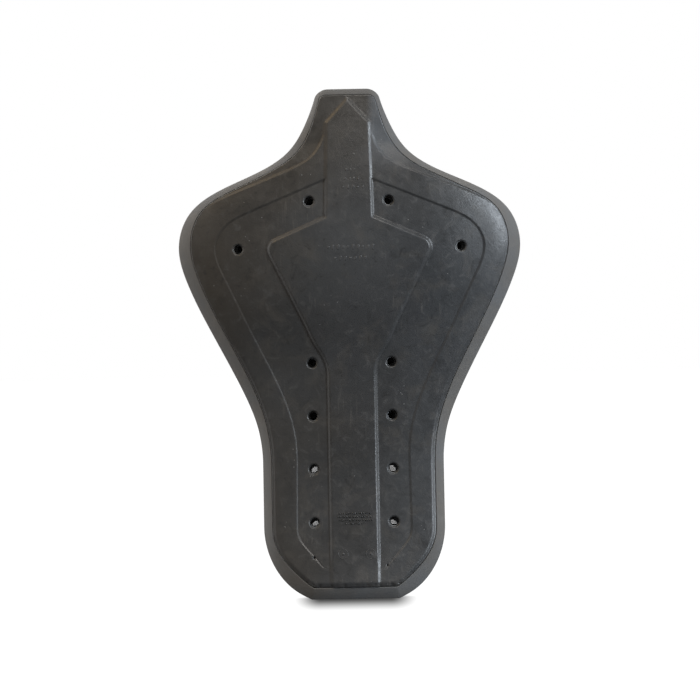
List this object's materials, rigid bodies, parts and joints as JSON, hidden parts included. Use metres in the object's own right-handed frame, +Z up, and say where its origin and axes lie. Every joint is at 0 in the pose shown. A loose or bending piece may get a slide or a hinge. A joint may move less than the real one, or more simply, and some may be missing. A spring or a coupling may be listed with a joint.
{
  "type": "back protector insert",
  "caption": "Moulded back protector insert with a bevelled soft rim, an inlaid outer shell with raised spine, sunk wing panels and vents, and a body liner.",
  "frame": {"origin": "under the middle of the protector, at the level of its bottom edge", "axes": "+Z up along the spine from the foot to the neck, -Y out of the outer face, +Y towards the wearer's back, +X to the right when looking at the outer face"},
  "size_m": [0.303, 0.0564, 0.45],
  "materials": {
    "outer_shell": "satin moulded skin, dark charcoal",
    "base_pad": "matte soft moulded foam with a closed skin",
    "absorber": "matte slow-recovery foam",
    "body_liner": "matte spacer mesh"
  },
  "bodies": {
    "root": {"outer_shell": "outer_shell", "base_pad": "base_pad", "spine_absorber": "absorber", "left_wing_absorber": "absorber", "right_wing_absorber": "absorber", "body_liner": "body_liner"}
  },
  "joints": []
}
